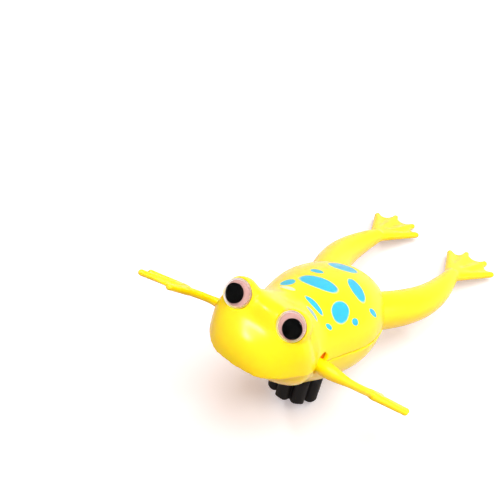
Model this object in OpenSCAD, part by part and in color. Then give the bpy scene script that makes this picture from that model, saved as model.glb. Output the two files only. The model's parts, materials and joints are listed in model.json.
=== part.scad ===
// Wind-up swimming frog in moulded plastic: hollow two-part body, paddling arms on a cross
// shaft, trailing legs, googly eyes and a clockwork motor with a winding knob under the belly.
// Millimetres. +X is the frog's left, +Y runs back to the toes, +Z is up, and the nose is at -Y.
// Everything is drawn level about the arm shaft, then tipped nose-up on to its knob and toes.

/* [Body] */
// Length of the body from nose to rump
body_len = 96.5; // [90:0.5:104]
// Distance from the arm shaft forward to the nose
nose_reach = 31.5; // [29:0.5:34]
// Width across the head
head_w = 56.5; // [52:0.5:62]
// Width across the body at the arm shaft
waist_w = 41.5; // [41:0.5:46]
// Width across the belly
belly_w = 52.5; // [48:0.5:58]
// Height of the back above the seam
back_h = 21.5; // [20:0.5:28]
// Depth of the belly below the seam
belly_d = 22.5; // [22:0.5:27]
// How far the chin stands back from the upper lip
chin_back = 4.6; // [3:0.2:7]
// Rise of the mouth line from the arm shaft to the cheeks
lip_rise = 4.4; // [2:0.1:5]
// Wall of both shells
wall = 1.8; // [1.4:0.1:2.4]
// Width of the line between the two shells
seam_gap = 0.25; // [0.2:0.05:0.5]

/* [Eyes] */
// Distance from the middle of the head to each eye centre
eye_x = 13.1; // [12:0.1:15]
// Distance of the eyes ahead of the arm shaft
eye_ahead = 19.2; // [18:0.1:21]
// Height of the eye discs above the seam
eye_up = 23; // [21:0.1:26]
// Radius of an eye
eye_r = 6; // [5.2:0.1:6.6]
// Tip of each eye forward from straight up, in degrees
eye_tip = 68; // [40:1:80]
// Turn of each eye outward, in degrees
eye_out = 2; // [0:1:25]
// Radius of the round pod behind an eye
pod_r = 7.1; // [6.8:0.1:8]
// Radius of a loose pupil
pupil_r = 4; // [3:0.1:4.2]
// Where the left pupil has rolled to, in degrees around its eye
left_roll = 335; // [0:5:360]
// Where the right pupil has rolled to, in degrees around its eye
right_roll = 205; // [0:5:360]

/* [Legs] */
// Radius of the thigh
thigh_r = 9.2; // [8:0.1:9.6]
// Clearance of a thigh in its socket
hip_fit = 0.3; // [0.2:0.05:0.6]
// Radius of the ankle
ankle_r = 3.6; // [2.8:0.1:4.2]
// Distance of the ankle behind the arm shaft
ankle_y = 116; // [108:1:124]
// Sideways distance of the ankle
ankle_x = 21.8; // [18:0.1:24]
// Outward bow of the leg
leg_bow = 6.5; // [3:0.1:8]
// Length of the two middle toes
mid_toe = 28.4; // [24:0.1:32]
// Length of the two side toes
side_toe = 24; // [20:0.1:28]
// Radius of a toe tip
toe_r = 1.9; // [1.5:0.1:2.4]

/* [Arms] */
// Turn of the arms about their shaft, in degrees below straight back
arm_turn = 32; // [0:1:360]
// How far the right arm falls short of half a turn from the left one, in degrees
arm_short = 5; // [0:1:12]
// Radius of the upper arm
arm_r = 3.3; // [2.6:0.1:3.5]
// Sideways distance of the elbow
elbow_x = 34; // [32:0.5:40]
// Sideways distance of the wrist
wrist_x = 39.5; // [37:0.5:44]
// Distance of the wrist from the shaft
wrist_rho = 17; // [13:0.5:22]
// Length of the longest finger
finger = 23; // [16:0.5:26]

/* [Winding knob] */
// Radius of the knob over its lobes
knob_r = 12; // [10:0.2:14]
// Height of the knob
knob_h = 12.6; // [11:0.2:15]
// Number of lobes around the knob
knob_lobes = 8; // [6:1:12]
// Gap between the knob and the boss above it
knob_gap = 0.6; // [0.4:0.1:1]

/* [Motor] */
// Size of one gear tooth
tooth = 0.56; // [0.54:0.01:0.58]
// Radius of the arm shaft
shaft_r = 1.5; // [1.4:0.05:1.7]
// Radius of the winding arbor
arbor_r = 1.5; // [1.4:0.05:1.7]
// Radius of the two small arbors
pin_r = 1; // [0.9:0.05:1.2]
// Thickness of a motor plate
plate_t = 1.2; // [1:0.1:1.4]
// Radial clearance of a turning shaft in its hole
run_fit = 0.05; // [0.02:0.01:0.1]
// Height of the mainspring ribbon
spring_h = 5; // [4:0.2:6]
// Radius of a screw shank
screw_r = 1.25; // [1.1:0.05:1.4]

/* [Hidden] */
$fn = 48;
N = 34;
M = 26;
// Gear counts and places
wheel_a = 43;
wheel_b = 30;
crown_n = 20;
pinion_n = 10;
pinion_pr = tooth*pinion_n/2;
crown_pr = tooth*crown_n/2;
idler_y = tooth*(wheel_b + pinion_n)/2;
wind_y = idler_y + tooth*(wheel_a + pinion_n)/2;
knob_y = wind_y;

// Main places along the body
half_len = body_len/2;
mid_y = half_len - nose_reach;
low_len = half_len - chin_back/2;
low_mid = mid_y + chin_back/2;
in_len = low_len - wall;
rump_y = mid_y + half_len;
head_y = -nose_reach + 15;
head_z = -6;
knob_top = -belly_d - 2.4 - knob_gap;
knob_bot = knob_top - knob_h;
hip_x = 11.2;
hip_z = 1.6;
screw_y = [-nose_reach + 15, rump_y - 9];
motor_at = [[-6.5, -2], [6.5, -2], [0, wind_y + 14.9]];
foot_z = 2.2;
slot_r = arm_r + 0.4;
seat_d = 1;
pod_rise = 3;
bump_tip = 48;
bump_out = 10;
pupil_off = eye_r - 0.6 - pupil_r - 0.3;

// Levels of the motor, from the belly up to the shaft
mesh_z = -pinion_pr;
crown_z = mesh_z - 2.6;
top_z = crown_z - 0.4 - plate_t;
gear_t = 1.2;
lane2_z = top_z - 0.4 - gear_t;
lane1_z = lane2_z - 0.4 - gear_t;
base_z = lane1_z - 0.4 - plate_t;
drum_z = top_z + plate_t;
drum_h = spring_h + 3.4;
drum_r = 15.8;

// The pegs that hold the legs stand clear of the spring drum, and the hips follow them
lug_r = 3.2;
lug_gap = 2.6;
lug_x = 14.5;
lug_y = wind_y + sqrt(pow(drum_r + lug_r + lug_gap, 2) - pow(lug_x, 2));
hip_y = lug_y + 5;

function smooth(t) = t < 0 ? 0 : t > 1 ? 1 : t*t*(3 - 2*t);
function mix(a, b, t) = a + (b - a)*t;
function round_end(u, p) = pow(max(0, 1 - pow(abs(u), p)), 1/p);
function bend(v, n) = sign(v)*pow(abs(v), 2/n);

// Half width of the body at a place along it, before its ends are rounded
function half_w(y) = y < 0
    ? mix(head_w, waist_w, smooth((y - head_y)/(0 - head_y)))/2
    : mix(waist_w, belly_w, smooth(y/(1.4*knob_y)))/2;
// Share of the back's height, with a shallow neck behind the eyes
function crest(y) = 1 - 0.05*exp(-pow((y - 4)/9, 2));
// Share of the belly's depth, shallower under the chin
function keel(y) = mix(0.54, 1, smooth((y + nose_reach)/(knob_y + nose_reach)));

// Rounding of the top line, fuller at the rump than at the snout
function top_end(u) = u < 0 ? round_end(u, 2.6) : round_end(u, 2.45);

// Rounding of the outline seen from above
function side_end(u) = u < 0 ? round_end(u, 2.6) : round_end(u, 2.5);
// Fullness of the upper cross-section, leaner at the neck
function fullness(y) = 2.1 - 0.1*exp(-pow((y - 2)/12, 2));
// Height of the seam, which rises along the cheeks and dips again at the nose
function seam(y) = lip_rise*smooth(-y/12)*(1 - 0.6*smooth((-y - 20)/(nose_reach - 20)));
// The lower shell's edge, a hair below the upper one's: the posts inside carry the joint
function rim(y) = seam(y) - seam_gap;

function up_out(u, a) = let (y = mid_y + half_len*u)
    [half_w(y)*side_end(u)*bend(cos(a), fullness(y)), y,
     seam(y) + (back_h*crest(y) - seam(y))*top_end(u)*bend(sin(a), fullness(y))];
function low_out(u, a) = let (y = low_mid + low_len*u)
    [half_w(y)*side_end(u)*bend(cos(a), 2.4), y,
     rim(y) - (belly_d*keel(y) + rim(y))*round_end(u, 2.05)*bend(sin(a), 2.4)];
function up_in(u, a) = let (y = low_mid + in_len*u)
    [(half_w(y) - wall)*side_end(u)*bend(cos(a), fullness(y)), y,
     seam(y) + (back_h*crest(y) - seam(y) - wall)*top_end(u)*bend(sin(a), fullness(y))];
function low_in(u, a) = let (y = low_mid + in_len*u)
    [(half_w(y) - wall)*side_end(u)*bend(cos(a), 2.4), y,
     rim(y) - (belly_d*keel(y) + rim(y) - wall)*round_end(u, 2.05)*bend(sin(a), 2.4)];

// Outer height of the top and of the underside at any place
function top_at(x, y) = let (u = (y - mid_y)/half_len)
    seam(y) + (up_out(u, 90)[2] - seam(y))*round_end(x/up_out(u, 0)[0], fullness(y));
function under_at(x, y) = let (u = (y - low_mid)/low_len)
    rim(y) + (low_out(u, 90)[2] - rim(y))*round_end(x/low_out(u, 0)[0], 2.4);

// The head swells into a soft bump behind each eye: points near its foot rise along the bump's own axis
function eye_dir(side) = [side*sin(eye_tip)*sin(eye_out), -sin(eye_tip)*cos(eye_out), cos(eye_tip)];
function eye_at(side) = [side*eye_x, -eye_ahead, eye_up];
function pod_at(side) = eye_at(side) - pod_rise*eye_dir(side);
function bump_dir(side) = [side*sin(bump_tip)*sin(bump_out), -sin(bump_tip)*cos(bump_out), cos(bump_tip)];
function eye_share(p, side) = let (d = norm(p - pod_at(side) + 0.8*eye_r*bump_dir(side)))
    1 - smooth((d - 1.1*eye_r)/(2*eye_r));
function eye_rise(p, side) = min(10, max(0, 1 - (p - pod_at(side))*bump_dir(side)))*bump_dir(side);
function with_eyes(p) = let (a = eye_share(p, 1), b = eye_share(p, -1))
    p + (a*eye_rise(p, 1) + b*eye_rise(p, -1))/max(1, a + b);

function station(k) = -cos(180*k/N);
up_out_pts = [for (k = [1:N - 1]) for (j = [0:M]) with_eyes(up_out(station(k), 180*j/M))];
low_out_pts = [for (k = [1:N - 1]) for (j = [0:M]) low_out(station(k), 180*j/M)];
up_in_pts = [for (k = [1:N - 1]) for (j = [0:M]) up_in(station(k), 180*j/M)];
low_in_pts = [for (k = [1:N - 1]) for (j = [0:M]) low_in(station(k), 180*j/M)];

// Point numbers on the outside and inside of a half shell
in_base = 2 + (N - 1)*(M + 1);
function out_i(k, j) = k == 0 ? 0 : k == N ? in_base - 1 : 1 + (k - 1)*(M + 1) + j;
function in_i(k, j) = in_base + out_i(k, j);
skin_faces = concat(
    [for (j = [0:M - 1]) [out_i(0, 0), out_i(1, j + 1), out_i(1, j)]],
    [for (j = [0:M - 1]) [out_i(N - 1, j), out_i(N - 1, j + 1), out_i(N, 0)]],
    [for (k = [1:N - 2]) for (j = [0:M - 1]) [out_i(k, j), out_i(k, j + 1), out_i(k + 1, j + 1)]],
    [for (k = [1:N - 2]) for (j = [0:M - 1]) [out_i(k, j), out_i(k + 1, j + 1), out_i(k + 1, j)]]);
core_faces = [for (f = skin_faces) [in_base + f[0], in_base + f[2], in_base + f[1]]];
rim_faces = concat(
    [for (k = [0:N - 1]) [out_i(k, 0), out_i(k + 1, 0), in_i(k + 1, 0), in_i(k, 0)]],
    [for (k = [0:N - 1]) [out_i(k, M), in_i(k, M), in_i(k + 1, M), out_i(k + 1, M)]]);
shell_faces = concat(skin_faces, core_faces, rim_faces);

// Legs: a tapering tube along a bowed line
LN = 18;
LM = 18;
function leg_mid(t) = [mix(hip_x, ankle_x, t) + leg_bow*sin(180*t), mix(hip_y, ankle_y, t),
                       mix(hip_z, foot_z + 0.6, t) - 1.4*sin(180*t)];
function leg_rad(t) = mix(thigh_r, ankle_r, pow(t, 1.9));
leg_pts = [for (k = [0:LN]) for (j = [0:LM - 1])
    leg_mid(k/LN) + leg_rad(k/LN)*[cos(360*j/LM), 0, sin(360*j/LM)]];
function leg_i(k, j) = k*LM + (j % LM);
leg_faces = concat(
    [for (k = [0:LN - 1]) for (j = [0:LM - 1]) [leg_i(k, j), leg_i(k, j + 1), leg_i(k + 1, j + 1)]],
    [for (k = [0:LN - 1]) for (j = [0:LM - 1]) [leg_i(k, j), leg_i(k + 1, j + 1), leg_i(k + 1, j)]],
    [[for (j = [LM - 1:-1:0]) leg_i(0, j)]],
    [[for (j = [0:LM - 1]) leg_i(LN, j)]]);
toe_ang = [31, 10.4, -11, -29];
toe_len = [side_toe, mid_toe, mid_toe, side_toe];
function toe_tip(i) = [ankle_x + toe_len[i]*sin(toe_ang[i]), ankle_y + toe_len[i]*cos(toe_ang[i]), foot_z];

// Arms, drawn with the reach along +Z, then turned about the shaft
finger_ang = [0, 28, 52];
finger_len = [0.62*finger, finger, 0.72*finger];
function finger_tip(i) = [wrist_x + finger_len[i]*sin(finger_ang[i]), 0,
                          wrist_rho + finger_len[i]*cos(finger_ang[i])];

hub_in = 15.4;
AN = 12;
AM = 16;
function arm_mid(t) = pow(1 - t, 2)*[hub_in + 7, 0, 0] + 2*t*(1 - t)*[elbow_x + 1, 0, -0.5]
    + t*t*[wrist_x, 0, wrist_rho + 1.5];
function arm_dir(t) = let (d = arm_mid(t + 0.01) - arm_mid(t - 0.01)) d/norm(d);
function arm_rad(t) = mix(arm_r, 1.8, smooth((t - 0.05)/0.55));
arm_pts = [for (k = [0:AN]) for (j = [0:AM - 1]) let (d = arm_dir(k/AN))
    let (a = 360*(j + 0.5)/AM)
    arm_mid(k/AN) + arm_rad(k/AN)*[-d[2]*cos(a), sin(a), d[0]*cos(a)]];
function arm_i(k, j) = k*AM + (j % AM);
arm_faces = concat(
    [for (k = [0:AN - 1]) for (j = [0:AM - 1]) [arm_i(k, j), arm_i(k, j + 1), arm_i(k + 1, j + 1)]],
    [for (k = [0:AN - 1]) for (j = [0:AM - 1]) [arm_i(k, j), arm_i(k + 1, j + 1), arm_i(k + 1, j)]],
    [[for (j = [AM - 1:-1:0]) arm_i(0, j)]],
    [[for (j = [0:AM - 1]) arm_i(AN, j)]]);

// The rest pose: the line under the knob's back edge and the middle toes is the floor
rest_y = knob_y + knob_r - 0.8;
toe_gap_y = toe_tip(1)[1] - rest_y;
toe_gap_z = foot_z - knob_bot;
pitch = atan2(toe_gap_z, toe_gap_y) - asin(toe_r/norm([toe_gap_y, toe_gap_z]));
function level_y(p) = p[1]*cos(pitch) + p[2]*sin(pitch);
function level_z(p) = p[2]*cos(pitch) - p[1]*sin(pitch);
front = min([for (p = up_out_pts) level_y(p)]);
rear = level_y(toe_tip(1)) + toe_r;
lift = -level_z([0, rest_y, knob_bot]);
shift_y = -(front + rear)/2;
eye_pos = [eye_x, -eye_ahead, eye_up];

echo(pitch = pitch, shift_y = shift_y, lift = lift, wind_y = wind_y, idler_y = idler_y);

// Piece to draw

module posed() {
    translate([0, shift_y, lift]) rotate([-pitch, 0, 0]) children();
}

// Places its children at an eye, with +Z out of the eye
module at_eye(side) {
    translate([side*eye_pos[0], eye_pos[1], eye_pos[2]])
        rotate([eye_tip, 0, side*eye_out]) children();
}

// A round bar from one point to another
module bar(p, q, r1, r2) {
    d = q - p;
    n = norm(d);
    translate(p) rotate([0, acos(d[2]/n), atan2(d[1], d[0])]) cylinder(h = n, r1 = r1, r2 = r2);
}

// The cut that lets an arm through the side of the body
module arm_slot(side) {
    translate([side*12, 0, 0]) rotate([0, side*90, 0]) cylinder(h = 24, r = slot_r);
    translate([side*12, 2.3, 2.6]) rotate([0, side*90, 0]) cylinder(h = 24, r = 0.6*slot_r);
}

// The socket that a thigh leaves the body through
module thigh_socket(side) {
    d = leg_mid(0.12) - leg_mid(0);
    mirror([side < 0 ? 1 : 0, 0, 0]) translate([hip_x, hip_y, hip_z])
        rotate([0, acos(d[2]/norm(d)), atan2(d[1], d[0])])
            translate([0, 0, -1]) cylinder(h = 30, r = thigh_r + hip_fit);
}

// A post from a level inside the body to the inside of a shell wall, above (way 1) or below (way -1)
module post(x, y, z, r, way) {
    step = 0.5;
    at = way > 0 ? top_at(x, y) : under_at(x, y);
    slope_x = way > 0 ? top_at(x + step, y) - top_at(x - step, y)
                      : under_at(x + step, y) - under_at(x - step, y);
    slope_y = way > 0 ? top_at(x, y + step) - top_at(x, y - step)
                      : under_at(x, y + step) - under_at(x, y - step);
    n = [-slope_x, -slope_y, 1];
    difference() {
        translate([x, y, way > 0 ? z : at - 4]) cylinder(h = abs(at - z) + 4, r = r);
        translate([x, y, at - way*0.3*wall]) rotate([0, acos(1/norm(n)), atan2(n[1], n[0])])
            translate([0, 0, way > 0 ? 0 : -20]) cylinder(h = 20, r = 14);
    }
}

module upper_shell() {
    color([0.98, 0.9, 0.1]) posed() difference() {
        union() {
            polyhedron(points = concat([up_out(-1, 0)], up_out_pts, [up_out(1, 0)],
                       [up_in(-1, 0)], up_in_pts, [up_in(1, 0)]), faces = shell_faces, convexity = 6);
            for (side = [-1, 1]) at_eye(side) intersection() {
                translate([0, 0, -pod_rise]) sphere(r = pod_r, $fn = 64);
                translate([-20, -20, -40]) cube([40, 40, 40]);
            }
            for (y = screw_y) post(0, y, seam(y), 3, 1);
        }
        for (side = [-1, 1]) {
            at_eye(side) translate([0, 0, -seat_d]) cylinder(h = 8, r = eye_r);
            arm_slot(side);
            thigh_socket(side);
        }
        for (y = screw_y) translate([0, y, seam(y) - 1]) cylinder(h = 7, r = screw_r);
    }
}

module lower_shell() {
    color([0.98, 0.86, 0.1]) posed() difference() {
        union() {
            polyhedron(points = concat([low_out(-1, 0)], low_out_pts, [low_out(1, 0)],
                       [low_in(-1, 0)], low_in_pts, [low_in(1, 0)]),
                       faces = [for (f = shell_faces) [for (i = [len(f) - 1:-1:0]) f[i]]], convexity = 6);
            for (y = screw_y) post(0, y, seam(y), 3.6, -1);
            translate([0, knob_y, knob_top + knob_gap]) cylinder(h = 4.6, r = 6);
            for (p = motor_at) post(p[0], p[1], base_z, 2.2, -1);
            for (side = [-1, 1]) {
                post(side*lug_x, lug_y, -1.2, lug_r, -1);
                translate([side*lug_x, lug_y, -3]) cylinder(h = 4.6, r = 1.5);
            }
        }
        for (side = [-1, 1]) {
            arm_slot(side);
            thigh_socket(side);
        }
        translate([0, knob_y, knob_top]) cylinder(h = 9, r = arbor_r + run_fit);
        for (y = screw_y) {
            translate([0, y, -30]) cylinder(h = 36, r = screw_r);
            translate([0, y, -30]) cylinder(h = 30 + head_z + seam(y), r = 2.6);
        }
        for (p = motor_at) translate([p[0], p[1], base_z - 2.6]) cylinder(h = 3.5, r = 0.9);
    }
}

module leg(side) {
    mirror([side < 0 ? 1 : 0, 0, 0]) union() {
        difference() {
            polyhedron(points = leg_pts, faces = leg_faces, convexity = 4);
            translate([-1, hip_y - 10, -20]) cube([40, 10.6, 40]);
        }
        difference() {
            translate([lug_x - 3, lug_y - 3, -1.2]) cube([6, hip_y + 6.5 - lug_y, 2.4]);
            translate([lug_x, lug_y, -2]) cylinder(h = 4, r = 1.5);
        }
        for (i = [0:3]) {
            bar([ankle_x + 0.6*(1.5 - i), ankle_y - 2, foot_z + 0.5], toe_tip(i), 2.6, toe_r - 0.1);
            translate(toe_tip(i)) sphere(r = toe_r, $fn = 32);
        }
        translate([ankle_x, ankle_y, foot_z - 1]) linear_extrude(height = 2) polygon(
            concat([[-2.8, -3], [0, -5], [2.8, -3]], [for (i = [0:6]) let (
                a = i % 2 == 0 ? toe_ang[i/2] : (toe_ang[floor(i/2)] + toe_ang[floor(i/2) + 1])/2,
                l = i % 2 == 0 ? toe_len[i/2] - 0.5 : 0.88*(toe_len[floor(i/2)] + toe_len[floor(i/2) + 1])/2)
                [l*sin(a), l*cos(a)]]));
    }
}

module left_leg() {
    color([0.98, 0.9, 0.1]) posed() leg(1);
}

module right_leg() {
    color([0.98, 0.9, 0.1]) posed() leg(-1);
}

module arm(side) {
    turn = side > 0 ? -90 - arm_turn : 90 - arm_turn + arm_short;
    mirror([side < 0 ? 1 : 0, 0, 0]) rotate([turn, 0, 0]) difference() {
        union() {
            translate([hub_in, 0, 0]) rotate([0, 90, 0]) cylinder(h = 10, r = arm_r - 0.3);
            polyhedron(points = arm_pts, faces = arm_faces, convexity = 3);
            for (i = [0:2]) {
                bar([wrist_x + 0.5*(i - 1), 0.2*(i - 1) + 0.1, wrist_rho - 1], finger_tip(i), 1.9, 1.4);
                translate(finger_tip(i)) sphere(r = 1.5, $fn = 32);
            }
            translate([wrist_x, 0.7, wrist_rho]) rotate([90, 0, 0]) linear_extrude(height = 1.4) polygon(
                concat([[-1.6, -2], [1.6, -2]], [for (i = [4:-1:0]) let (
                    a = i % 2 == 0 ? finger_ang[i/2] : (finger_ang[floor(i/2)] + finger_ang[floor(i/2) + 1])/2,
                    l = i % 2 == 0 ? finger_len[i/2] - 0.5
                        : 0.4*(finger_len[floor(i/2)] + finger_len[floor(i/2) + 1]))
                    [l*sin(a), l*cos(a)]]));
        }
        translate([hub_in - 1, 0, 0]) rotate([0, 90, 0]) cylinder(h = 7.4, r = shaft_r);
    }
}

module left_arm() {
    color([0.98, 0.9, 0.1]) posed() arm(1);
}

module right_arm() {
    color([0.98, 0.9, 0.1]) posed() arm(-1);
}

module eye_back(side) {
    at_eye(side) translate([0, 0, -seat_d]) cylinder(h = seat_d + 0.2, r = eye_r);
}

module pupil(side, roll) {
    at_eye(side) rotate([0, 0, roll]) translate([pupil_off, 0, 0.55]) cylinder(h = 0.9, r = pupil_r);
}

module eye_dome(side) {
    rise = 0.5*eye_r;
    at_eye(side) rotate_extrude($fn = 64) polygon(concat(
        [[eye_r - 0.6, 0.2], [eye_r, 0.2]],
        [for (i = [0:12]) [eye_r*cos(7.5*i), 1 + rise*sin(7.5*i) - 0.2]],
        [for (i = [12:-1:0]) [(eye_r - 0.6)*cos(7.5*i), 1 + (rise - 0.7)*sin(7.5*i)]]));
}

module left_eye_back() {
    color([0.95, 0.85, 0.85]) posed() eye_back(1);
}

module right_eye_back() {
    color([0.95, 0.85, 0.85]) posed() eye_back(-1);
}

module left_pupil() {
    color([0.05, 0.05, 0.05]) posed() pupil(1, left_roll);
}

module right_pupil() {
    color([0.05, 0.05, 0.05]) posed() pupil(-1, right_roll);
}

module left_eye_dome() {
    color([0.9, 0.95, 1, 0.35]) posed() eye_dome(1);
}

module right_eye_dome() {
    color([0.9, 0.95, 1, 0.35]) posed() eye_dome(-1);
}

module winding_knob() {
    lobe_r = knob_r*sin(180/knob_lobes)/(1 + sin(180/knob_lobes))*0.98;
    color([0.06, 0.06, 0.06]) posed() translate([0, knob_y, knob_bot]) difference() {
        intersection() {
            union() {
                cylinder(h = knob_h, r = knob_r - 1.3*lobe_r);
                for (i = [0:knob_lobes - 1]) rotate([0, 0, 360*i/knob_lobes])
                    translate([knob_r - lobe_r, 0, 0]) cylinder(h = knob_h, r = lobe_r, $fn = 24);
            }
            rotate_extrude($fn = 72) polygon([[0, 0], [knob_r - 0.8, 0], [knob_r, 0.8],
                [knob_r, knob_h - 2], [knob_r - 2, knob_h], [0, knob_h]]);
        }
        translate([0, 0, 3]) cylinder(h = knob_h, r = arbor_r);
        translate([0, 0, -1]) cylinder(h = knob_h, r = 0.8);
        translate([0, 0, -1]) cylinder(h = 2.2, r = 2.2);
    }
}

module knob_screw() {
    color([0.7, 0.7, 0.72]) posed() translate([0, knob_y, knob_bot]) difference() {
        union() {
            translate([0, 0, 0.2]) cylinder(h = 1, r = 1.9);
            translate([0, 0, 0.2]) cylinder(h = 5, r = 0.8);
        }
        for (a = [0, 90]) rotate([0, 0, a]) translate([-1.2, -0.2, 0]) cube([2.4, 0.4, 0.7]);
    }
}

module winding_arbor() {
    color([0.75, 0.75, 0.78]) posed() translate([0, wind_y, 0]) difference() {
        union() {
            translate([0, 0, knob_bot + 3]) cylinder(h = drum_z + drum_h + 0.6 - knob_bot - 3, r = arbor_r);
            translate([0, 0, drum_z + 0.4]) cylinder(h = spring_h + 1, r = 2.6);
        }
        translate([0, 0, knob_bot + 2]) cylinder(h = 3.2, r = 0.8);
    }
}

// Outline of a spur gear with straight flanks
module gear_shape(n, start) {
    r = tooth*n/2;
    w = 360/n;
    polygon([for (i = [0:n - 1]) for (q = [[-0.3, r - 1.15*tooth], [-0.2, r], [-0.1, r + 0.75*tooth],
        [0.1, r + 0.75*tooth], [0.2, r], [0.3, r - 1.15*tooth]])
        let (a = start + w*(i + q[0])) [q[1]*cos(a), q[1]*sin(a)]]);
}

module ratchet_wheel() {
    n = 10;
    color([0.8, 0.65, 0.3]) posed() translate([0, wind_y, lane1_z + gear_t + 0.2]) difference() {
        linear_extrude(height = 1) polygon([for (i = [0:n - 1]) for (q = [[0, 2.7], [0.06, 2.05]])
            let (a = 360*(i + q[0])/n) [q[1]*cos(a), q[1]*sin(a)]]);
        translate([0, 0, -1]) cylinder(h = 4, r = arbor_r);
    }
}

module great_wheel() {
    color([0.8, 0.65, 0.3]) posed() translate([0, wind_y, lane1_z]) difference() {
        linear_extrude(height = gear_t) gear_shape(wheel_a, -90);
        translate([0, 0, -1]) cylinder(h = 4, r = arbor_r + run_fit);
        for (a = [60, 180, 300]) rotate([0, 0, a]) translate([8, 0, -1]) cylinder(h = 4, r = 2.2);
    }
}

module click() {
    color([0.75, 0.75, 0.78]) posed() translate([0, wind_y, lane1_z + gear_t]) rotate([0, 0, 120]) {
        translate([4.5, 0, 0]) cylinder(h = 1.1, r = 0.9);
        translate([3, -0.4, 0]) cube([1.6, 0.8, 1]);
    }
}

module mainspring() {
    turns = 5;
    steps = 120;
    r0 = 3;
    r1 = drum_r - 1.35;
    color([0.35, 0.38, 0.45]) posed() translate([0, wind_y, drum_z + 0.9]) linear_extrude(height = spring_h)
        polygon(concat(
            [for (i = [0:steps]) let (a = 360*turns*i/steps, r = mix(r0, r1, i/steps)) [r*cos(a), r*sin(a)]],
            [for (i = [steps:-1:0]) let (a = 360*turns*i/steps, r = mix(r0, r1, i/steps) + 0.35)
                [r*cos(a), r*sin(a)]]));
}

module spring_drum() {
    color([0.85, 0.85, 0.85]) posed() translate([0, wind_y, drum_z]) difference() {
        cylinder(h = drum_h, r = drum_r);
        translate([0, 0, -1]) cylinder(h = drum_h - 0.2, r = drum_r - 1);
        translate([0, 0, -1]) cylinder(h = drum_h + 2, r = arbor_r + run_fit);
    }
}

module idler_arbor() {
    color([0.75, 0.75, 0.78]) posed() translate([0, idler_y, base_z]) difference() {
        union() {
            cylinder(h = top_z + plate_t - base_z, r = pin_r);
            translate([0, 0, lane1_z - base_z - 0.1]) linear_extrude(height = gear_t + 0.3)
                gear_shape(pinion_n, 90 + 180/pinion_n);
        }
        translate([0, 0, -2]) cylinder(h = 1, r = 0.3);
    }
}

module idler_wheel() {
    color([0.8, 0.65, 0.3]) posed() translate([0, idler_y, lane2_z]) difference() {
        linear_extrude(height = gear_t) gear_shape(wheel_b, -90);
        translate([0, 0, -1]) cylinder(h = 4, r = pin_r);
        for (a = [30, 150, 270]) rotate([0, 0, a]) translate([4.6, 0, -1]) cylinder(h = 4, r = 1.6);
    }
}

module crown_arbor() {
    color([0.75, 0.75, 0.78]) posed() translate([0, 0, base_z]) cylinder(h = mesh_z + 0.4 - base_z, r = pin_r);
}

module crown_pinion() {
    color([0.8, 0.65, 0.3]) posed() translate([0, 0, lane2_z - 0.1]) difference() {
        linear_extrude(height = gear_t + 0.3) gear_shape(pinion_n, 90 + 180/pinion_n);
        translate([0, 0, -1]) cylinder(h = 4, r = pin_r);
    }
}

module crown_wheel() {
    w = 0.155*PI*tooth;
    color([0.95, 0.95, 0.92]) posed() translate([0, 0, crown_z]) difference() {
        union() {
            cylinder(h = 1.8, r = crown_pr + 1);
            for (i = [0:crown_n - 1]) rotate([0, 0, 360*i/crown_n]) translate([crown_pr - 0.7, 0, 1.7])
                rotate([90, 0, 90]) linear_extrude(height = 1.6)
                    polygon([[-1.45*w, 0], [-w, 0.9], [-0.5*w, 0.9 + 0.7*tooth], [0.5*w, 0.9 + 0.7*tooth],
                             [w, 0.9], [1.45*w, 0]]);
        }
        translate([0, 0, -1]) cylinder(h = 4, r = pin_r);
        translate([0, 0, 0.9]) cylinder(h = 4, r = crown_pr - 1.9);
    }
}

module arm_shaft() {
    color([0.75, 0.75, 0.78]) posed() translate([-hub_in - 6, 0, 0]) rotate([0, 90, 0])
        cylinder(h = 2*hub_in + 12, r = shaft_r);
}

module shaft_pinion() {
    color([0.95, 0.95, 0.92]) posed() translate([crown_pr - 1.2, 0, 0]) rotate([0, 90, 0]) difference() {
        linear_extrude(height = 2.4) gear_shape(pinion_n, 180/pinion_n);
        translate([0, 0, -1]) cylinder(h = 4, r = shaft_r);
    }
}

module plate_shape(w) {
    translate([-w, 0, 0]) cube([2*w, wind_y, plate_t]);
    translate([-8.7, -4.2, 0]) cube([17.4, 5, plate_t]);
    translate([0, wind_y, 0]) cylinder(h = plate_t, r = drum_r);
    translate([0, motor_at[2][1], 0]) cylinder(h = plate_t, r = 2.6);
}

pillar_at = [[-9.6, 2], [9.6, 2], [-9.4, wind_y + 11], [9.4, wind_y + 11]];

module lower_plate() {
    color([0.8, 0.8, 0.8]) posed() translate([0, 0, base_z]) difference() {
        plate_shape(11.4);
        translate([0, wind_y, -1]) cylinder(h = 4, r = arbor_r + run_fit);
        for (y = [0, idler_y]) translate([0, y, -1]) cylinder(h = 4, r = pin_r + run_fit);
        for (p = motor_at) translate([p[0], p[1], -1]) cylinder(h = 4, r = 0.9);
    }
}

module upper_plate() {
    color([0.8, 0.8, 0.8]) posed() difference() {
        union() {
            translate([0, 0, top_z]) plate_shape(14);
            for (side = [-1, 1]) translate([side*12.4 - 1.5, -3.2, top_z])
                cube([3, 6.4, shaft_r + 1.9 - top_z]);
        }
        translate([-20, 0, 0]) rotate([0, 90, 0]) cylinder(h = 40, r = shaft_r + run_fit);
        translate([0, wind_y, top_z - 1]) cylinder(h = 4, r = arbor_r + run_fit);
        for (y = [0, idler_y]) translate([0, y, top_z - 1]) cylinder(h = 4, r = pin_r + run_fit);
    }
}

module plate_pillars() {
    color([0.7, 0.7, 0.72]) posed() for (p = pillar_at)
        translate([p[0], p[1], base_z + plate_t]) cylinder(h = top_z - base_z - plate_t, r = 1.2);
}

module motor_screws() {
    color([0.7, 0.7, 0.72]) posed() for (p = motor_at) translate([p[0], p[1], base_z]) {
        translate([0, 0, -2.6]) cylinder(h = 2.6 + plate_t, r = 0.9);
        translate([0, 0, plate_t]) cylinder(h = 0.9, r = 1.7);
    }
}

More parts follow.
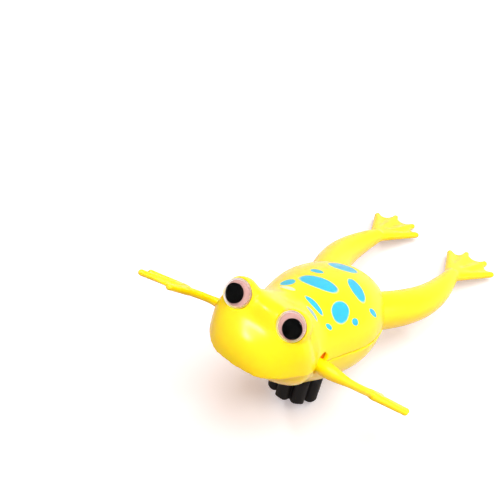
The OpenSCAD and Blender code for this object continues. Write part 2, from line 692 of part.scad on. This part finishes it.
module shell_screws() {
    color([0.7, 0.7, 0.72]) posed() for (y = screw_y) translate([0, y, head_z + seam(y)]) difference() {
        union() {
            translate([0, 0, -1.4]) cylinder(h = 1.4, r = 2.3);
            translate([0, 0, -1.4]) cylinder(h = 12, r = screw_r);
        }
        for (a = [0, 90]) rotate([0, 0, a]) translate([-1.4, -0.25, -2]) cube([2.8, 0.5, 1.3]);
    }
}

upper_shell();
lower_shell();
left_leg();
right_leg();
left_arm();
right_arm();
left_eye_back();
right_eye_back();
left_pupil();
right_pupil();
left_eye_dome();
right_eye_dome();
winding_knob();
knob_screw();
winding_arbor();
ratchet_wheel();
great_wheel();
click();
mainspring();
spring_drum();
idler_arbor();
idler_wheel();
crown_arbor();
crown_wheel();
crown_pinion();
arm_shaft();
shaft_pinion();
lower_plate();
upper_plate();
plate_pillars();
motor_screws();
shell_screws();
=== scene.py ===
# Wind-up swimming frog in glossy moulded plastic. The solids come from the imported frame, and this script
# gives them smooth skins, printed spots, googly eyes and slot collars, on a pale floor in soft light.
import json
import math

import bmesh
import bpy
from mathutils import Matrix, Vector


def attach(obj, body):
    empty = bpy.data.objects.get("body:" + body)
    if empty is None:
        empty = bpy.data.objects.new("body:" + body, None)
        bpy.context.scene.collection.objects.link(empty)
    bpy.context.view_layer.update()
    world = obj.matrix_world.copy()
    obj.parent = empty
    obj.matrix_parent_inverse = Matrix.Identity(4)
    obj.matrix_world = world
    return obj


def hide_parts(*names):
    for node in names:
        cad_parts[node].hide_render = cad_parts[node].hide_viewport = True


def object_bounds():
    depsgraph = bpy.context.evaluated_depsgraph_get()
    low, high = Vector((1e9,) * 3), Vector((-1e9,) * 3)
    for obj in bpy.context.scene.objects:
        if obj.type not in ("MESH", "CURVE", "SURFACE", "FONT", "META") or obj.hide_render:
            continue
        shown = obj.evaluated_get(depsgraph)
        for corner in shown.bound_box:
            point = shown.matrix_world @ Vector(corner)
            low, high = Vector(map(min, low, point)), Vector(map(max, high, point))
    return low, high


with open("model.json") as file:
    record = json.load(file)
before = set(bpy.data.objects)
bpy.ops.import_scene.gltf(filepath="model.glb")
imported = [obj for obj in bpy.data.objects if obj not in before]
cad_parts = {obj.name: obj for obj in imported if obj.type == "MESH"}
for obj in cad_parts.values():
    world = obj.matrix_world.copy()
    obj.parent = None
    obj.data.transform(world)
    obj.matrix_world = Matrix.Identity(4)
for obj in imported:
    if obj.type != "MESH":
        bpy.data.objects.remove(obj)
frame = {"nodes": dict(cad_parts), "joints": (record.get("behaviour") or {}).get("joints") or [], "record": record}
cad_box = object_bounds()

MM = 0.001
SIDES = ("left", "right")
joints = {j["name"]: j for j in frame["joints"]}
body_of_node = {n: b for b, nodes in frame["record"]["behaviour"]["bodies"].items() for n in nodes}
slot_of_node = {s["node"]: s["material_slot"] for s in frame["record"]["subparts"]}

# The arm shaft is the frog's own origin, and the gear axis is its own up
shaft = Vector(joints["arm_spin"]["pos_m"])
frog_up = Vector(joints["crown_spin"]["axis"])
pitch = math.atan2(frog_up.y, frog_up.z)

# The middle of each eye and the way it looks
rolls = [joints[side + "_pupil_roll"] for side in SIDES]
eyes = [(Vector(roll["pos_m"]), Vector(roll["axis"]).normalized()) for roll in rolls]


# Helpers for materials

def linear(hex_colour):
    """sRGB hex to linear red, green, blue and alpha."""
    parts = [int(hex_colour[i:i + 2], 16) / 255 for i in (1, 3, 5)]
    return [p / 12.92 if p <= 0.04045 else ((p + 0.055) / 1.055) ** 2.4 for p in parts] + [1]


def add(tree, kind, inputs=None, **settings):
    """Adds a node, with its settings and with values or links for its inputs."""
    made = tree.nodes.new(kind)
    for name, value in settings.items():
        setattr(made, name, value)
    for name, value in (inputs or {}).items():
        if isinstance(value, bpy.types.NodeSocket):
            tree.links.new(value, made.inputs[name])
        else:
            made.inputs[name].default_value = value
    return made


def material(name, **sockets):
    """A new material with one Principled shader, and its uniform values on the shader's own sockets."""
    made = bpy.data.materials.new(name)
    made.use_nodes = True
    shader = made.node_tree.nodes["Principled BSDF"]
    for key, value in sockets.items():
        shader.inputs[key.replace("_", " ")].default_value = value
    return made, made.node_tree, shader


def mottled(tree, pattern, dark, light):
    """A colour that wanders between two near tones."""
    mixed = add(tree, "ShaderNodeMix", {
        "Factor": pattern.outputs["Fac"], "A": linear(dark), "B": linear(light)}, data_type="RGBA")
    return mixed.outputs["Result"]


# A noise texture keeps mostly between these two values
NOISE_LOW = 0.3
NOISE_HIGH = 0.7

# Size of the patches in which a moulded surface is a little duller or brighter
CLOUD_MM = 14


def moulded_grain(tree, shader, where, grit_mm, grit_high_mm, rough_low, rough_high):
    """Fine moulded grain: small bumps and a slightly uneven gloss."""
    grit = add(tree, "ShaderNodeTexNoise", {"Vector": where, "Scale": 1 / (grit_mm * MM), "Detail": 3.0})
    cloud = add(tree, "ShaderNodeTexNoise", {"Vector": where, "Scale": 1 / (CLOUD_MM * MM), "Detail": 2.0})
    gloss = add(tree, "ShaderNodeMapRange", {
        "Value": cloud.outputs["Fac"], "From Min": NOISE_LOW, "From Max": NOISE_HIGH,
        "To Min": rough_low, "To Max": rough_high})
    tree.links.new(gloss.outputs["Result"], shader.inputs["Roughness"])
    bump = add(tree, "ShaderNodeBump", {
        "Height": grit.outputs["Fac"], "Strength": 1.0, "Distance": grit_high_mm * MM})
    tree.links.new(bump.outputs["Normal"], shader.inputs["Normal"])
    return cloud


# Printed spots, and a painted highlight laid on the same way

# A mark's edge wavers by this share of a spot's size, over this distance, and is soft between two shares
WAVER = 0.06
WAVER_MM = 4
EDGE_FROM = 0.9
EDGE_TO = 1.1

# A spot is this tall, in metres, so that its place on the level plan alone counts
SPOT_TALL = 100

# Each mark has its colour, the share of the yellow that it covers, and its spots on the level plan of the
# back: place to the left and to the rear of the shaft, half length and half width in millimetres, and
# turn in degrees. The thin blue print and the pale mint mark at the neck are fainter. That mint mark is
# a painted highlight, for a glint on the neck's crease.
SPOTS_AND_GLINT = [
    ("#2EC4F0", 1.0, [
        (-2.5, 43.8, 6.7, 4.6, 40), (-6.1, 27.5, 2.9, 1.9, 15), (0.1, 19.6, 8.5, 4.4, 20),
        (11.0, 33.7, 6.1, 3.4, -25), (-9.6, 11.5, 3.0, 2.6, 58), (7.0, 6.9, 5.0, 1.5, -3),
        (14.6, 16.3, 5.1, 3.5, 90), (20.8, 35.0, 2.3, 1.1, 66), (20.0, 21.5, 1.8, 0.95, 73),
        (15.9, 7.1, 1.6, 0.8, 55), (-22.3, 24.5, 4.0, 0.9, 88), (-18.6, 39.5, 3.0, 1.4, 65),
        (-23.0, 33.0, 1.2, 0.5, 80), (-20.6, 11.5, 1.4, 0.7, 80)]),
    ("#58BEE6", 0.8, [(9.6, 1.9, 3.4, 1.2, -9)]),
    # Painted highlight, not print: a pale mint glint on the crease of the neck
    ("#C4F2EA", 0.75, [(-6.7, 7.2, 3.6, 1.2, -1)]),
]


def print_spots_and_glint(tree, where, colour, prints_and_glint):
    """Pad-printed spots over a colour, and a painted highlight laid on the same way, all in the frog's own axes.
    """
    plan = add(tree, "ShaderNodeMapping", {"Vector": where, "Location": shaft, "Rotation": (-pitch, 0, 0)},
               vector_type="TEXTURE").outputs["Vector"]
    noise = add(tree, "ShaderNodeTexNoise", {"Vector": plan, "Scale": 1 / (WAVER_MM * MM), "Detail": 2.0})
    waver = add(tree, "ShaderNodeMapRange", {
        "Value": noise.outputs["Fac"], "To Min": -WAVER, "To Max": WAVER})
    for mark_colour, cover, spots in prints_and_glint:
        nearest = None
        for x, y, half_long, half_short, turn in spots:
            spot = add(tree, "ShaderNodeMapping", {
                "Vector": plan, "Location": (x * MM, y * MM, 0), "Rotation": (0, 0, math.radians(turn)),
                "Scale": (half_long * MM, half_short * MM, SPOT_TALL)}, vector_type="TEXTURE")
            far = add(tree, "ShaderNodeVectorMath", {0: spot.outputs["Vector"]}, operation="LENGTH")
            if nearest is None:
                nearest = far.outputs["Value"]
            else:
                nearest = add(tree, "ShaderNodeMath", {0: nearest, 1: far.outputs["Value"]},
                              operation="MINIMUM").outputs["Value"]
        edge = add(tree, "ShaderNodeMath", {0: nearest, 1: waver.outputs["Result"]}, operation="ADD")
        mask = add(tree, "ShaderNodeMapRange", {
            "Value": edge.outputs["Value"], "From Min": EDGE_FROM, "From Max": EDGE_TO,
            "To Min": cover, "To Max": 0.0}, interpolation_type="SMOOTHSTEP")
        over = add(tree, "ShaderNodeMix", {
            "Factor": mask.outputs["Result"], "A": colour, "B": linear(mark_colour)}, data_type="RGBA")
        colour = over.outputs["Result"]
    return colour


# Materials

def moulded_plastic(name, dull, bright, grit_mm, grit_high_mm, rough_low, rough_high, prints_and_glint=(), **sockets):
    """A moulded plastic with its grain, its slightly cloudy colour and any print or painted highlight on it."""
    made, tree, shader = material(name, **sockets)
    where = add(tree, "ShaderNodeTexCoord").outputs["Object"]
    cloud = moulded_grain(tree, shader, where, grit_mm, grit_high_mm, rough_low, rough_high)
    colour = mottled(tree, cloud, dull, bright)
    if prints_and_glint:
        colour = print_spots_and_glint(tree, where, colour, prints_and_glint)
    tree.links.new(colour, shader.inputs["Base Color"])
    return made


def yellow_abs(name, dull="#FFEB08", bright="#FFF00E", prints_and_glint=()):
    # Injection-moulded ABS: clean, bright and glossy, and a little see-through, so its shaded side glows
    return moulded_plastic(name, dull, bright, grit_mm=0.7, grit_high_mm=0.004,
                           rough_low=0.17, rough_high=0.26, prints_and_glint=prints_and_glint, IOR=1.53, Specular_IOR_Level=0.3,
                           Subsurface_Weight=0.7, Subsurface_Scale=3 * MM,
                           Subsurface_Radius=(1.0, 0.45, 0.08))


def pupil_black():
    # Loose polystyrene disc: deep black, with next to no shine of its own behind the dome
    return moulded_plastic("pupil_polystyrene_black", "#020202", "#070707", grit_mm=0.5, grit_high_mm=0.002,
                           rough_low=0.35, rough_high=0.45, IOR=1.59, Specular_IOR_Level=0.01)


def knob_black():
    # Polypropylene from a spark-eroded mould: satin black with a fine grain
    return moulded_plastic("knob_polypropylene_black", "#060607", "#0E0E11", grit_mm=0.35,
                           grit_high_mm=0.012, rough_low=0.38, rough_high=0.5, IOR=1.49,
                           Specular_IOR_Level=0.16)


def motor_white():
    # Natural white acetal of the motor plates and small gears: satin and slightly waxy
    return moulded_plastic("motor_acetal_white", "#E4E3DD", "#F2F1EC", grit_mm=0.5, grit_high_mm=0.006,
                           rough_low=0.35, rough_high=0.5, IOR=1.48, Subsurface_Weight=0.1,
                           Subsurface_Scale=2 * MM)


def eye_white():
    # Printed card behind the dome: matt pinkish white with a faint fibre
    made, tree, shader = material("eye_card_pinkish_white", Roughness=0.55, IOR=1.5)
    where = add(tree, "ShaderNodeTexCoord").outputs["Object"]
    fibre_mm = 0.9
    fibre = add(tree, "ShaderNodeTexNoise", {"Vector": where, "Scale": 1 / (fibre_mm * MM), "Detail": 4.0})
    tree.links.new(mottled(tree, fibre, "#9F7872", "#B28881"), shader.inputs["Base Color"])
    return made


def dome_clear():
    # Vacuum-formed acetate: clear from the front, and whitish where its rim catches the room. Its IOR is
    # set low, so that the thin dome doesn't bend the eye behind it out of place.
    made, tree, shader = material("eye_dome_clear_acetate", Base_Color=linear("#FFFFFF"), IOR=1.05,
                                  Transmission_Weight=1.0)
    where = add(tree, "ShaderNodeTexCoord").outputs["Object"]
    moulded_grain(tree, shader, where, grit_mm=3.0, grit_high_mm=0.002, rough_low=0.02, rough_high=0.06)
    facing = add(tree, "ShaderNodeLayerWeight", {"Blend": 0.5})
    rim_from, rim_to, rim_shine = 0.35, 0.7, 0.85
    rim = add(tree, "ShaderNodeMapRange", {
        "Value": facing.outputs["Facing"], "From Min": rim_from, "From Max": rim_to,
        "To Min": 0.0, "To Max": rim_shine}, interpolation_type="SMOOTHSTEP")
    shine = add(tree, "ShaderNodeBsdfGlossy", {"Color": linear("#FFFFFF"), "Roughness": 0.3})
    edged = add(tree, "ShaderNodeMixShader", {0: rim.outputs["Result"], 1: shader.outputs["BSDF"],
                                              2: shine.outputs["BSDF"]})
    # Light passes, so that the eye inside isn't in shade
    path = add(tree, "ShaderNodeLightPath")
    through = add(tree, "ShaderNodeBsdfTransparent")
    mixed = add(tree, "ShaderNodeMixShader", {0: path.outputs["Is Shadow Ray"], 1: edged.outputs["Shader"],
                                              2: through.outputs["BSDF"]})
    tree.links.new(mixed.outputs["Shader"], tree.nodes["Material Output"].inputs["Surface"])
    return made


def turned_metal(name, dark, light, rough_low, rough_high):
    # Drawn or stamped metal: fine lines along one way and a soft uneven gloss
    made, tree, shader = material(name, Metallic=1.0)
    where = add(tree, "ShaderNodeTexCoord").outputs["Object"]
    line_mm, lines_closer, line_high_mm = 1.2, 12, 0.003
    lines = add(tree, "ShaderNodeMapping", {"Vector": where, "Scale": (1, 1, lines_closer)})
    streak = add(tree, "ShaderNodeTexNoise", {
        "Vector": lines.outputs["Vector"], "Scale": 1 / (line_mm * MM), "Detail": 5.0})
    gloss = add(tree, "ShaderNodeMapRange", {
        "Value": streak.outputs["Fac"], "From Min": NOISE_LOW, "From Max": NOISE_HIGH,
        "To Min": rough_low, "To Max": rough_high})
    bump = add(tree, "ShaderNodeBump", {
        "Height": streak.outputs["Fac"], "Strength": 1.0, "Distance": line_high_mm * MM})
    tree.links.new(mottled(tree, streak, dark, light), shader.inputs["Base Color"])
    tree.links.new(gloss.outputs["Result"], shader.inputs["Roughness"])
    tree.links.new(bump.outputs["Normal"], shader.inputs["Normal"])
    return made


plain_yellow = yellow_abs("yellow_abs_glossy")
# The spots are print, and the pale mint mark among them is a painted highlight
spotted_yellow = yellow_abs("yellow_abs_glossy_print_and_glint", prints_and_glint=SPOTS_AND_GLINT)
# Painted shade: an orange copy of the same plastic, for the orange it shows deep in the arm slots
slot_shade_orange = yellow_abs("yellow_abs_painted_slot_shade", "#FA680A", "#FF7810")
finish_of_slot = {
    "yellow_plastic": plain_yellow,
    "eye_white": eye_white(),
    "pupil_black": pupil_black(),
    "clear_dome": dome_clear(),
    "black_plastic": knob_black(),
    "white_plastic": motor_white(),
    "brass": turned_metal("stamped_brass", "#B58E45", "#D9B868", rough_low=0.25, rough_high=0.4),
    "steel": turned_metal("bright_steel", "#A9AAAC", "#D2D3D5", rough_low=0.22, rough_high=0.36),
    "blue_steel": turned_metal("blued_spring_steel", "#39414F", "#5B6678", rough_low=0.25, rough_high=0.38),
}

for name, obj in frame["nodes"].items():
    obj.data.materials.clear()
    obj.data.materials.append(finish_of_slot[slot_of_node[name]])


# Helpers for pieces

# Points of a solid's mesh that lie closer than this are one
MERGE_MM = 0.002


def merged_copy(node):
    """A node's mesh as one bmesh, with its loose triangles joined."""
    shape = bmesh.new()
    shape.from_mesh(frame["nodes"][node].data)
    bmesh.ops.remove_doubles(shape, verts=shape.verts, dist=MERGE_MM * MM)
    return shape


def object_from(shape, name, finish):
    """A bmesh as a new object with one finish."""
    mesh = bpy.data.meshes.new(name)
    shape.to_mesh(mesh)
    shape.free()
    mesh.materials.append(finish)
    obj = bpy.data.objects.new(name, mesh)
    bpy.context.scene.collection.objects.link(obj)
    return obj


def stand_for(obj, node):
    """Puts a piece in a node's place, on its body, and hides the node."""
    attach(obj, body_of_node[node])
    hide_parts(node)


# Smooth skins over the faceted nodes

# Faces that meet at more than this make a real edge
REAL_EDGE = math.radians(24)
SMOOTH = {"factor": 0.5, "use_axis_x": True, "use_axis_y": True, "use_axis_z": True}
LAST_ROUNDS = 2


def skin(node, finish, grid_mm, rounds, softer=None):
    """A smooth closed copy of a faceted node: facets melt away, and real edges keep a small round."""
    obj = object_from(merged_copy(node), node + "_skin", finish)
    remesh = obj.modifiers.new("even_grid", "REMESH")
    remesh.mode = "VOXEL"
    remesh.voxel_size = grid_mm * MM
    even = bpy.data.meshes.new_from_object(obj.evaluated_get(bpy.context.evaluated_depsgraph_get()))
    obj.modifiers.clear()
    obj.data = even
    shape = bmesh.new()
    shape.from_mesh(even)
    bmesh.ops.smooth_vert(shape, verts=shape.verts, **SMOOTH)
    # Points on or beside a real edge stay, so that rims, slots and sockets keep their form
    kept = {v for line in shape.edges if line.calc_face_angle(0) > REAL_EDGE for v in line.verts}
    kept |= {line.other_vert(v) for v in kept for line in v.link_edges}
    loose = [v for v in shape.verts if v not in kept or (softer and softer(v.co))]
    for _ in range(rounds):
        bmesh.ops.smooth_vert(shape, verts=loose, **SMOOTH)
    for _ in range(LAST_ROUNDS):
        bmesh.ops.smooth_vert(shape, verts=shape.verts, **SMOOTH)
    for face in shape.faces:
        face.smooth = True
    shape.to_mesh(even)
    shape.free()
    even.materials.clear()
    even.materials.append(finish)
    stand_for(obj, node)


# The ring where an eye bump runs into the head: its depth below the eye and its reach from the eye's axis
RING_DEPTH_MM = (2.2, 16)
RING_REACH_MM = (6.4, 13)


def round_the_eyes(point):
    """True in the ring of either eye."""
    for centre, out in eyes:
        off = point - centre
        depth = -off.dot(out)
        reach = (off + depth * out).length
        if (RING_DEPTH_MM[0] * MM < depth < RING_DEPTH_MM[1] * MM
                and RING_REACH_MM[0] * MM < reach < RING_REACH_MM[1] * MM):
            return True
    return False


def everywhere(point):
    """True all over a piece."""
    return True


skin("upper_shell", spotted_yellow, grid_mm=0.5, rounds=40, softer=round_the_eyes)
skin("lower_shell", plain_yellow, grid_mm=0.5, rounds=40)
for side in SIDES:
    skin(side + "_leg", plain_yellow, grid_mm=0.4, rounds=40, softer=everywhere)
    skin(side + "_arm", plain_yellow, grid_mm=0.3, rounds=14, softer=everywhere)
skin("winding_knob", finish_of_slot["black_plastic"], grid_mm=0.3, rounds=3)


# Collars in the arm slots

COLLAR_NEAR_MM = 17.5
COLLAR_FAR_MM = 18.8
COLLAR_BORE_R_MM = 3.3
COLLAR_R_MM = 6.0
COLLAR_STEPS = 64


def slot_collar(name, side):
    """A moulded collar just inside an arm slot, round the turning arm, so that no dark gap shows there. Its orange
    is painted shade.
    """
    near = side * COLLAR_NEAR_MM * MM
    far = side * COLLAR_FAR_MM * MM
    bore = COLLAR_BORE_R_MM * MM
    rim = COLLAR_R_MM * MM
    ring = bmesh.new()
    corners = [ring.verts.new((x, 0, r)) for x, r in ((near, bore), (far, bore), (far, rim), (near, rim))]
    edges = [ring.edges.new((corners[i - 1], corners[i])) for i in range(len(corners))]
    bmesh.ops.spin(ring, geom=corners + edges, axis=(1, 0, 0), cent=(0, 0, 0), angle=2 * math.pi,
                   steps=COLLAR_STEPS, use_merge=True)
    bmesh.ops.remove_doubles(ring, verts=ring.verts, dist=MERGE_MM * MM)
    bmesh.ops.recalc_face_normals(ring, faces=ring.faces)
    bmesh.ops.translate(ring, verts=ring.verts, vec=shaft)
    # Painted shade: the collar wears the orange copy of the yellow plastic
    obj = object_from(ring, name, slot_shade_orange)
    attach(obj, body_of_node["upper_shell"])


slot_collar("left_slot_collar", 1)
slot_collar("right_slot_collar", -1)


# Googly eyes

# Faces that meet at less than this shine as one curve
CURVED = math.radians(35)


def polished(node):
    """A merged copy of a turned node with a smooth shine, for curved clear or glossy pieces."""
    shape = merged_copy(node)
    for face in shape.faces:
        face.smooth = True
    for line in shape.edges:
        line.smooth = len(line.link_faces) == 2 and line.calc_face_angle(0) < CURVED
    obj = object_from(shape, node + "_polished", finish_of_slot[slot_of_node[node]])
    stand_for(obj, node)


for side in SIDES:
    for piece in ("eye_back", "pupil", "eye_dome"):
        polished(side + "_" + piece)


# Floor and room

def seen_rays(tree):
    """Which rays the viewer follows: straight or through glass, in reflections, and all of these."""
    path = add(tree, "ShaderNodeLightPath")
    reflected = path.outputs["Is Glossy Ray"]
    straight = add(tree, "ShaderNodeMath", {0: path.outputs["Is Camera Ray"],
                                            1: path.outputs["Is Transmission Ray"]}, operation="MAXIMUM")
    seen = add(tree, "ShaderNodeMath", {0: straight.outputs["Value"], 1: reflected}, operation="MAXIMUM")
    return straight.outputs["Value"], reflected, seen.outputs["Value"]


# The paper's own glow near the object and away from it, where it fades to plain white, the distances from
# the object's middle between which it does, in metres, and the share of it that reflections show
GLOW_NEAR = 0.36
GLOW_AWAY = 1.0
FADE_FROM = 0.12
FADE_TO = 0.45
GLOW_REFLECTED = 0.3
FLOOR_HALF = 4.0


def white_floor():
    # Pale studio paper: it is seen white with the object's shadow, and throws back a little warm light
    made, tree, shader = material("studio_paper_white", Roughness=0.9)
    where = add(tree, "ShaderNodeTexCoord").outputs["Object"]
    pulp_mm = 30
    pulp = add(tree, "ShaderNodeTexNoise", {"Vector": where, "Scale": 1 / (pulp_mm * MM), "Detail": 3.0})
    straight, reflected, seen = seen_rays(tree)
    colour = add(tree, "ShaderNodeMix", {"Factor": seen, "A": linear("#B3946C"),
                                         "B": mottled(tree, pulp, "#E2E9F1", "#E6EDF5")}, data_type="RGBA")
    tree.links.new(colour.outputs["Result"], shader.inputs["Base Color"])
    away = add(tree, "ShaderNodeVectorMath", {0: where}, operation="LENGTH")
    white = add(tree, "ShaderNodeMapRange", {
        "Value": away.outputs["Value"], "From Min": FADE_FROM, "From Max": FADE_TO,
        "To Min": GLOW_NEAR, "To Max": GLOW_AWAY}, interpolation_type="SMOOTHSTEP")
    mirrored = add(tree, "ShaderNodeMath", {0: reflected, 1: GLOW_REFLECTED}, operation="MULTIPLY")
    watched = add(tree, "ShaderNodeMath", {0: straight, 1: mirrored.outputs["Value"]}, operation="MAXIMUM")
    share = add(tree, "ShaderNodeMath", {0: watched.outputs["Value"], 1: white.outputs["Result"]},
                operation="MULTIPLY")
    glow = add(tree, "ShaderNodeEmission", {"Color": linear("#F2F4FF"), "Strength": share.outputs["Value"]})
    lit = add(tree, "ShaderNodeAddShader", {0: shader.outputs["BSDF"], 1: glow.outputs["Emission"]})
    tree.links.new(lit.outputs["Shader"], tree.nodes["Material Output"].inputs["Surface"])
    return made


paper = bmesh.new()
bmesh.ops.create_grid(paper, x_segments=4, y_segments=4, size=FLOOR_HALF)
floor = object_from(paper, "studio_floor", white_floor())

# A warm dim room, which the viewer sees as plain white
world = bpy.data.worlds.new("studio_room")
world.use_nodes = True
bpy.context.scene.world = world
room = world.node_tree
sky = room.nodes["Background"]
sky.inputs["Color"].default_value = linear("#FFB266")
sky.inputs["Strength"].default_value = 0.45
seen_sky = add(room, "ShaderNodeBackground", {"Color": linear("#FFFFFF"), "Strength": 1.0})
*_, seen = seen_rays(room)
blend = add(room, "ShaderNodeMixShader", {0: seen, 1: sky.outputs["Background"],
                                          2: seen_sky.outputs["Background"]})
room.links.new(blend.outputs["Shader"], room.nodes["World Output"].inputs["Surface"])


# Lamps

def softbox(name, place, width, height, power):
    """An oval lamp, in metres and watts, that shines on the middle of the object."""
    lamp = bpy.data.lights.new(name, "AREA")
    lamp.shape = "ELLIPSE"
    lamp.size = width
    lamp.size_y = height
    lamp.energy = power
    obj = bpy.data.objects.new(name, lamp)
    middle = (cad_box[0] + cad_box[1]) / 2
    obj.location = place
    obj.rotation_euler = (middle - Vector(place)).to_track_quat("-Z", "Y").to_euler()
    bpy.context.scene.collection.objects.link(obj)


softbox("key_softbox", (0.35, 0.02, 1.09), width=1.0, height=1.0, power=12.8)
softbox("fill_softbox", (0.82, 0.16, 0.40), width=0.8, height=0.8, power=2.8)
softbox("snout_softbox", (-0.47, -0.36, 1.03), width=0.22, height=0.08, power=2.3)


# The photograph's own view

PHOTO_PX = 500
FOCAL_PX = 926
SENSOR_MM = 36
CAMERA_FROM_SHAFT_MM = (143.15, -192.07, 294.17)
CAMERA_DOWN = 45.31
CAMERA_TURN = 39.572

lens = bpy.data.cameras.new("photo_camera")
lens.sensor_width = SENSOR_MM
lens.lens = SENSOR_MM * FOCAL_PX / PHOTO_PX
lens.clip_start = 10 * MM
camera = bpy.data.objects.new("photo_camera", lens)
camera.location = shaft + Vector(CAMERA_FROM_SHAFT_MM) * MM
camera.rotation_euler = (math.radians(90 - CAMERA_DOWN), 0, math.radians(CAMERA_TURN))
bpy.context.scene.collection.objects.link(camera)
bpy.context.scene.camera = camera
bpy.context.scene.view_settings.view_transform = "Standard"

bpy.context.view_layer.update()
